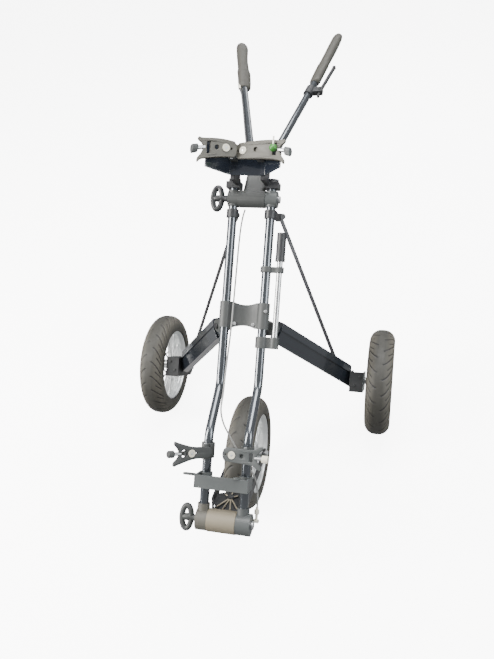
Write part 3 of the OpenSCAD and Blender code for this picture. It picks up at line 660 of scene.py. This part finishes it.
# %% [markdown]
# Flat mouldings, such as the bag arms, have flowing outlines with holes through them. A
# two dimensional curve with a thickness and a rounded edge gives exactly that: the outer
# loop is the outline, and each inner loop is a hole.

# %% A helper for flat mouldings
def flowing(points, steps=8):
    """A smooth closed loop through the given corners."""
    points = [Vector((p[0], p[1])) for p in points]
    n, loop = len(points), []
    for i in range(n):
        p, q, r, s = points[i - 1], points[i], points[(i + 1) % n], points[(i + 2) % n]
        for k in range(steps):
            t = k / steps
            loop.append(0.5 * (2 * q + (r - p) * t + (2 * p - 5 * q + 4 * r - s) * t * t
                               + (3 * q - p - 3 * r + s) * t * t * t))
    return loop


def circle(x, y, r, steps=28):
    return [Vector((x + r * math.cos(math.tau * k / steps), y + r * math.sin(math.tau * k / steps)))
            for k in range(steps)]


def slot_loop(x, y, w, h, r=0.0018):
    """A rectangle with round corners."""
    loop = []
    for cx, cy, start in ((w / 2 - r, h / 2 - r, 0), (-w / 2 + r, h / 2 - r, 90),
                          (-w / 2 + r, -h / 2 + r, 180), (w / 2 - r, -h / 2 + r, 270)):
        for k in range(6):
            a = math.radians(start + 18 * k)
            loop.append(Vector((x + cx + r * math.cos(a), y + cy + r * math.sin(a))))
    return loop


def moulding(loops, thick, edge=0.0007):
    """A flat moulding of a thickness, centred on its own z = 0, from its outline and holes."""
    curve = bpy.data.curves.new("outline", "CURVE")
    curve.dimensions = "2D"
    curve.fill_mode = "BOTH"
    curve.extrude = thick / 2 - edge
    curve.bevel_depth = edge
    curve.bevel_resolution = 2
    curve.offset = -edge
    for loop in loops:
        line = curve.splines.new("POLY")
        line.points.add(len(loop) - 1)
        for point, at in zip(line.points, loop):
            point.co = (at[0], at[1], 0, 1)
        line.use_cyclic_u = True
    carrier = bpy.data.objects.new("outline", curve)
    bpy.context.scene.collection.objects.link(carrier)
    bpy.context.view_layer.update()
    mesh = bpy.data.meshes.new_from_object(carrier.evaluated_get(bpy.context.evaluated_depsgraph_get()))
    bpy.data.objects.remove(carrier)
    work = bmesh.new()
    work.from_mesh(mesh)
    bmesh.ops.remove_doubles(work, verts=work.verts, dist=0.00001)
    bmesh.ops.recalc_face_normals(work, faces=work.faces)
    work.to_mesh(mesh)
    work.free()
    shade(mesh, 40)
    return mesh


def coated(mesh, material_name):
    mesh.materials.clear()
    mesh.materials.append(finishes[material_name])
    return mesh


print("a test moulding has", len(moulding([circle(0, 0, 0.02), circle(0, 0, 0.01)], 0.006).polygons), "faces")

# %% [markdown]
# Each bag arm is a curved plate that hangs on a knuckle. It has a round washer cap, a
# peep hole, and a fishtail with a strap slot and a knurled knob at its outer end.

# %% The four bag arms
def washer_cap(x, y):
    """Dished ivory washer with a screw in the middle, lying on a plate's face."""
    disc = turned([(0.0, 0.0002), (0.0, 0.0086), (0.0012, 0.0090), (0.0024, 0.0084), (0.0026, 0.0060),
                   (0.0020, 0.0042), (0.0019, 0.0002)], 32)
    screw = turned([(0.0012, 0.0002), (0.0012, 0.0030), (0.0028, 0.0028), (0.0031, 0.0016),
                    (0.0028, 0.0002)], 16)
    coated(disc, "ivory_plastic")
    coated(screw, "zinc_steel")
    cap = merged("cap", [disc, screw])
    cap.transform(Matrix.Translation((x, y, 0.0034)) @ Matrix.Rotation(math.radians(-90), 4, "Y"))
    return cap


def knurled_knob(x0, x1, radius):
    """Strap knob: a shaft in the fishtail and a ribbed head outside it."""
    shaft = turned([(x0, 0.0002), (x0, 0.0040), (x1 - 0.014, 0.0040), (x1 - 0.014, 0.0002)], 20)
    work = bmesh.new()
    rings = []
    for x, r in ((x1 - 0.015, radius * 0.86), (x1 - 0.0138, radius), (x1 - 0.0014, radius),
                 (x1, radius * 0.82)):
        rings.append([work.verts.new((x, r * (1 - 0.06 * (k % 2)) * math.cos(math.tau * k / 48),
                                      r * (1 - 0.06 * (k % 2)) * math.sin(math.tau * k / 48)))
                      for k in range(48)])
    for low_ring, high_ring in zip(rings, rings[1:]):
        for k in range(48):
            work.faces.new((low_ring[k], low_ring[(k + 1) % 48], high_ring[(k + 1) % 48], high_ring[k]))
    work.faces.new(rings[0][::-1])
    work.faces.new(rings[-1])
    bmesh.ops.recalc_face_normals(work, faces=work.faces)
    mesh = bpy.data.meshes.new("knob")
    work.to_mesh(mesh)
    work.free()
    shade(mesh, 30)
    return shaft, mesh


def bag_arm(node, side, pivot, turn, sizes, plate, knob, droop):
    """One bag arm in place. Sizes are in millimetres from its pivot, outwards positive: where its
    inner and outer ends are, half its height at each, and where its cap and its hole are. Its tip
    hangs lower by droop."""
    i, o, a, b = [v / 1000 for v in sizes[:4]]
    cap_at, hole_at = sizes[4:]
    outline = [(-i - 0.001, 0), (-i + 0.004, a * 0.86), (-i + 0.016, a * 1.0), (o * 0.45, a + 0.0016),
               (o - 0.012, b - 0.003), (o - 0.002, b), (o - 0.001, b * 0.72), (o - 0.010, b * 0.38),
               (o - 0.014, 0), (o - 0.010, -b * 0.38), (o - 0.001, -b * 0.72), (o - 0.002, -b),
               (o - 0.012, -b + 0.003), (o * 0.45, -a - 0.0016), (-i + 0.016, -a * 1.0),
               (-i + 0.004, -a * 0.86)]
    loops = [flowing(outline), circle(hole_at / 1000, 0, 0.0052),
             circle((cap_at - 14 if cap_at < hole_at else cap_at + 14) / 1000, 0, 0.0024, 16),
             slot_loop(o - 0.026, 0, 0.009, a * 1.3)]
    plate_mesh = coated(moulding(loops, 0.0068, 0.0009), plate)
    rib_middle, rib_length = (o - 0.026 + hole_at / 1000) / 2 + 0.001, abs(o - hole_at / 1000) * 0.45
    rib_loops = [slot_loop(rib_middle, edge * 0.78, rib_length, 0.0022, 0.0009) for edge in (a, -a)]
    ribs = [coated(moulding([loop], 0.0086, 0.0004), plate) for loop in rib_loops]
    shaft, head = knurled_knob(o - 0.018, o + 0.0148, 0.0084)
    parts = [plate_mesh, *ribs, washer_cap(cap_at / 1000, 0)]
    parts += [coated(shaft, "zinc_steel"), coated(head, knob)]
    # The plate's own z faces the front, 11.5 mm before the pivot
    stand = Matrix.Translation((0, -0.0115, 0)) @ Matrix.Rotation(math.radians(90), 4, "X")
    arm = merged(node + "_moulding", parts)
    for vertex in arm.vertices:
        low = min(1.0, max(0.0, -vertex.co.y / b))
        vertex.co.y -= droop / 1000 * (1 + 0.9 * low) * (max(0.0, vertex.co.x) / o) ** 2
    arm.transform(stand)
    knuckle = [(-0.011, 0.0036), (-0.011, 0.0073), (-0.0103, 0.0080), (0.0103, 0.0080), (0.011, 0.0073),
               (0.011, 0.0036)]
    barrel = turned(knuckle, 32)
    barrel.transform(Matrix.Rotation(math.radians(-90), 4, "Y"))
    neck = coated(moulding([slot_loop(0, -0.0062, 0.0156, 0.0064, 0.001)], 0.0216, 0.0008), plate)
    arm = merged(node + "_moulding", [arm, coated(barrel, plate), neck])
    swing = Matrix.Rotation(math.radians(-turn), 4, "Z")
    arm.transform(Matrix.Translation([v / 1000 for v in pivot]) @ swing)
    if side < 0:
        arm.transform(Matrix.Scale(-1, 4, (1, 0, 0)))
        arm.flip_normals()
    arm.transform(on_frame)
    piece = place_mesh(node + "_moulding", arm, None)
    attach(piece, body_of_node[node])
    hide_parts(node)
    return piece


upper_pivot, lower_pivot = (32, -106, 376), (48, -94, -326)
warm, charcoal, blue, ivory = "warm_grey_plastic", "charcoal_plastic", "blue_grey_plastic", "ivory_plastic"
bag_arm("upper_wing_left", -1, upper_pivot, 38, (5, 90, 19, 24, 22, 44), warm, charcoal, 11)
bag_arm("upper_wing_right", 1, upper_pivot, 18, (52, 74, 19, 24, -34, -1), warm, blue, 8)
bag_arm("lower_arm_left", -1, lower_pivot, 50, (9, 92, 13, 28, 46, 62), charcoal, charcoal, 0)
bag_arm("lower_arm_right", 1, lower_pivot, 8, (50, 46, 16, 27, -27, -3), blue, ivory, 0)
print("bag arms made")

# %% [markdown]
# The saddle is one bent sheet, about four millimetres thick, glossy and dark. It is drawn
# as a path seen from above, with soft bends, and its top and bottom edges are swept up
# towards the tips as a die would cut them.

# %% The saddle
def saddle_mesh():
    path = [(-0.0885, -0.1295), (-0.074, -0.1116), (-0.060, -0.0943), (-0.050, -0.0818), (-0.0435, -0.0745),
            (-0.030, -0.0730), (0.0, -0.0730), (0.030, -0.0730), (0.0435, -0.0745), (0.050, -0.0818),
            (0.060, -0.0943), (0.074, -0.1116), (0.0885, -0.1295)]
    fine = []
    for i in range(len(path) - 1):
        for k in range(6):
            t = k / 6
            fine.append(tuple(p * (1 - t) + q * t for p, q in zip(path[i], path[i + 1])))
    fine.append(path[-1])
    work = bmesh.new()
    rows = 12
    grid = []
    for x, y in fine:
        reach = abs(x) / 0.0885
        low = 0.3275 + 0.010 * max(0, reach - 0.4) ** 1.3
        high = 0.4005 - 0.018 * max(0, reach - 0.35) ** 1.5
        grid.append([work.verts.new((x, y, low + (high - low) * k / rows)) for k in range(rows + 1)])
    for a, b in zip(grid, grid[1:]):
        for k in range(rows):
            work.faces.new((a[k], b[k], b[k + 1], a[k + 1]))
    bmesh.ops.recalc_face_normals(work, faces=work.faces)
    bmesh.ops.transform(work, matrix=on_frame, verts=work.verts)
    mesh = bpy.data.meshes.new("saddle_sheet")
    work.to_mesh(mesh)
    work.free()
    return mesh


saddle = place_mesh("saddle_sheet", saddle_mesh(), finishes["saddle_gloss"])
wall = saddle.modifiers.new("thickness", "SOLIDIFY")
wall.thickness = 0.0036
wall.offset = 0
soft = saddle.modifiers.new("edges", "BEVEL")
soft.width = 0.0008
soft.segments = 2
soft.limit_method = "ANGLE"
saddle.data.shade_smooth()
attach(saddle, "frame")
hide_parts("saddle")
print("saddle sheet", [round(v, 3) for v in saddle.dimensions])

# %% [markdown]
# The clamp knobs are open loops that a hand can turn, fat and rounded all over, with a
# short waisted shaft. A loop swept from an oval section gives that soft shape.

# %% The two clamp knobs
def knob_mesh(material_name):
    """Loop in the XZ plane round (-0.0262, 0), with its shaft running to x = 0."""
    work = bmesh.new()
    rings, steps, sides = [], 64, 16
    for i in range(steps):
        t = math.tau * i / steps
        cx, cz = 0.0115 * math.cos(t), 0.0270 * math.sin(t)
        out = Vector((math.cos(t) / 0.0115, 0, math.sin(t) / 0.0270)).normalized()
        ring = []
        for k in range(sides):
            p = math.tau * k / sides
            ring.append(work.verts.new(Vector((cx, 0, cz)) + out * 0.0068 * math.cos(p)
                                       + Vector((0, 0.0076, 0)) * math.sin(p)))
        rings.append(ring)
    for i in range(steps):
        for k in range(sides):
            work.faces.new((rings[i][k], rings[(i + 1) % steps][k], rings[(i + 1) % steps][(k + 1) % sides],
                            rings[i][(k + 1) % sides]))
    bmesh.ops.recalc_face_normals(work, faces=work.faces)
    loop = bpy.data.meshes.new("loop")
    work.to_mesh(loop)
    work.free()
    loop.shade_smooth()
    loop.transform(Matrix.Translation((-0.0262, 0, 0)))
    shaft = turned([(-0.0370, 0.0002), (-0.0370, 0.0060), (-0.0340, 0.0074), (-0.026, 0.0086),
                    (-0.016, 0.0086), (-0.010, 0.0074), (-0.005, 0.0078), (-0.0006, 0.0086),
                    (0.0, 0.0080), (0.0, 0.0002)], 32)
    return merged("knob", [coated(loop, material_name), coated(shaft, material_name)])


for node, at, x, material_name in (("upper_knob", handle_pivot, -63.4, "black_plastic"),
                                   ("lower_knob", fork_pivot, -62.4, "charcoal_plastic")):
    mesh = knob_mesh(material_name)
    mesh.transform(axes(at, (1, 0, 0), tube_up) @ Matrix.Translation((x / 1000, 0, 0)))
    knob = place_mesh(node + "_loop", mesh, None)
    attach(knob, body_of_node[node])
    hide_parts(node)
print("clamp knobs made")

# %% [markdown]
# The grips are soft rubber, slim at the wrist end, swelling under the palm and closing in
# a rounded tip that leans outward. Fine rings give the fingers something to hold. Each is
# lofted along the arm's line as a stack of ovals.

# %% The two grips
lean = math.radians(31)
handle_turn = math.radians(4)
handle_axes = (axes(handle_pivot, (1, 0, 0), tube_up) @ Matrix.Rotation(-lean, 4, "X")
               @ Matrix.Rotation(-handle_turn, 4, "Z"))
arm_knee, arm_tip = Vector((0.101, 0, 0.430)), Vector((0.147, 0, 0.640))


def grip_mesh():
    """One grip: a ribbed oval whose wide way turns along its length."""
    work = bmesh.new()
    sides, rings = 36, []
    line = arm_tip - arm_knee
    along = line.normalized()
    flat, thin = Vector((along.z, 0, -along.x)), Vector((0, 1, 0))
    twist = math.radians(140)
    across = flat * math.cos(twist) + thin * math.sin(twist)
    through = thin * math.cos(twist) - flat * math.sin(twist)
    stations = [(0.0, 12.2, 11.0), (0.012, 17.0, 12.6), (0.035, 19.2, 13.0), (0.20, 19.8, 13.2),
                (0.34, 20.4, 13.4), (0.42, 17.4, 13.0), (0.56, 16.6, 13.6), (0.70, 17.2, 13.8),
                (0.82, 18.4, 13.4), (0.90, 18.8, 12.8), (0.95, 16.8, 11.8), (0.98, 12.6, 9.6),
                (0.993, 8.0, 6.6), (0.999, 3.0, 2.6)]
    count = 110
    for i in range(count + 1):
        t = 0.999 * i / count
        for (t0, a0, b0), (t1, a1, b1) in zip(stations, stations[1:]):
            if t0 <= t <= t1:
                f = (t - t0) / (t1 - t0)
                f = f * f * (3 - 2 * f)
                a, b = a0 + (a1 - a0) * f, b0 + (b1 - b0) * f
        ribbed = 0.45 * math.sin(t * 210) if 0.06 < t < 0.34 else 0
        a, b = (a + ribbed) / 1000, (b + ribbed) / 1000
        centre = arm_knee + line * t + across * 0.0016 * math.sin(t * 7)
        ring = []
        for k in range(sides):
            p = math.tau * k / sides
            ring.append(work.verts.new(centre + across * a * math.cos(p) + through * b * math.sin(p)))
        rings.append(ring)
    for r0, r1 in zip(rings, rings[1:]):
        for k in range(sides):
            work.faces.new((r0[k], r0[(k + 1) % sides], r1[(k + 1) % sides], r1[k]))
    work.faces.new(rings[0][::-1])
    work.faces.new(rings[-1])
    bmesh.ops.recalc_face_normals(work, faces=work.faces)
    mesh = bpy.data.meshes.new("grip")
    work.to_mesh(mesh)
    work.free()
    shade(mesh, 50)
    return mesh


for node, side in (("grip_left", -1), ("grip_right", 1)):
    mesh = grip_mesh()
    if side < 0:
        mesh.transform(Matrix.Scale(-1, 4, (1, 0, 0)))
        mesh.flip_normals()
    mesh.transform(handle_axes)
    grip = place_mesh(node + "_rubber", mesh, finishes["grip_rubber"])
    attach(grip, "handle")
    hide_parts(node)
print("grips made")

# %% [markdown]
# Last come the small things: the green ball marker and its hook on the right upper arm, the
# ferrule and thin cable on the left handle tube, the ivory cap that stands on the fork's web,
# and pale rods along the tops of the web's ribs, a painted highlight where the ribs catch
# the light.

# %% Small fittings
def ball_marker():
    ball = bmesh.new()
    bmesh.ops.create_uvsphere(ball, u_segments=32, v_segments=20, radius=0.0088)
    mesh = bpy.data.meshes.new("ball")
    ball.to_mesh(mesh)
    ball.free()
    mesh.shade_smooth()
    stem = rod((0, -0.003, 0.006), (0, -0.001, 0.026), 0.0019, 14)
    return merged("marker", [coated(mesh, "green_plastic"), coated(stem, "ivory_plastic")])


def handle_cable():
    """The left grip's ivory ferrule and the dark cable that runs down its tube."""
    route = [(-0.1120, -0.0100, 0.424), (-0.0990, -0.0120, 0.392), (-0.0830, -0.0110, 0.330),
             (-0.0640, -0.0085, 0.250), (-0.0450, -0.0085, 0.175), (-0.0250, -0.0085, 0.100)]
    parts = [coated(rod(a, b, 0.0021, 12), "black_plastic") for a, b in zip(route, route[1:])]
    ferrule = rod((-0.1160, -0.0095, 0.440), (-0.1100, -0.0100, 0.418), 0.0040, 20)
    parts.append(coated(ferrule, "ivory_plastic"))
    return merged("handle_cable", parts)


def web_cap():
    """The ivory cap in the middle of the fork's web, standing along its own z."""
    disc = turned([(0.0, 0.0002), (0.0, 0.0062), (0.0010, 0.0070), (0.0024, 0.0070), (0.0030, 0.0058),
                   (0.0026, 0.0030), (0.0024, 0.0002)], 28)
    disc.transform(Matrix.Rotation(math.radians(90), 4, "Y"))
    return coated(disc, "ivory_plastic")


def web_ribs(cap_at, long_rib=0.046, short_rib=0.018):
    """Pale rods along the tops of the web's ribs, which fan out from under its cap: a painted highlight on
    the rib tops, not a colour of the moulding.
    """
    rods = []
    for turn, reach in ((-34, long_rib), (-12, long_rib), (12, long_rib), (34, long_rib),
                        (120, short_rib), (180, short_rib), (240, short_rib)):
        way = Vector((math.sin(math.radians(turn)), -math.cos(math.radians(turn)), 0))
        rods.append(coated(rod(cap_at, cap_at + way * reach, 0.0017, 12), "pale_grey_plastic"))
    return merged("web_ribs", rods)


# The fork's own axes: x to the side, y along it to the wheel, z out of the web's face
fork_run = (Vector(joints["front_wheel_spin"]["pos_m"]) - fork_pivot).normalized()
fork_out = Vector((1, 0, 0)).cross(fork_run).normalized()
on_fork = Matrix((
    (1, fork_run.x, fork_out.x, fork_pivot.x), (0, fork_run.y, fork_out.y, fork_pivot.y),
    (0, fork_run.z, fork_out.z, fork_pivot.z), (0, 0, 0, 1)))
rib_top = Vector((0, 0.078, 0.0060))

line = handle_cable()
line.transform(handle_axes)
piece = place_mesh("handle_cable", line, None)
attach(piece, "handle")

cap = web_cap()
cap.transform(on_fork @ Matrix.Translation((0, 0.078, 0.0092)))
piece = place_mesh("web_cap", cap, None)
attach(piece, "fork")

# Pale rods on the rib tops: a painted highlight where the ribs catch the light.
fan = web_ribs(rib_top)
fan.transform(on_fork)
piece = place_mesh("web_ribs", fan, None)
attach(piece, "fork")

marker = ball_marker()
marker.transform(on_frame @ Matrix.Translation((0.071, -0.1385, 0.374)))
piece = place_mesh("green_ball_marker", marker, None)
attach(piece, "wing_right")
print("small fittings in place")
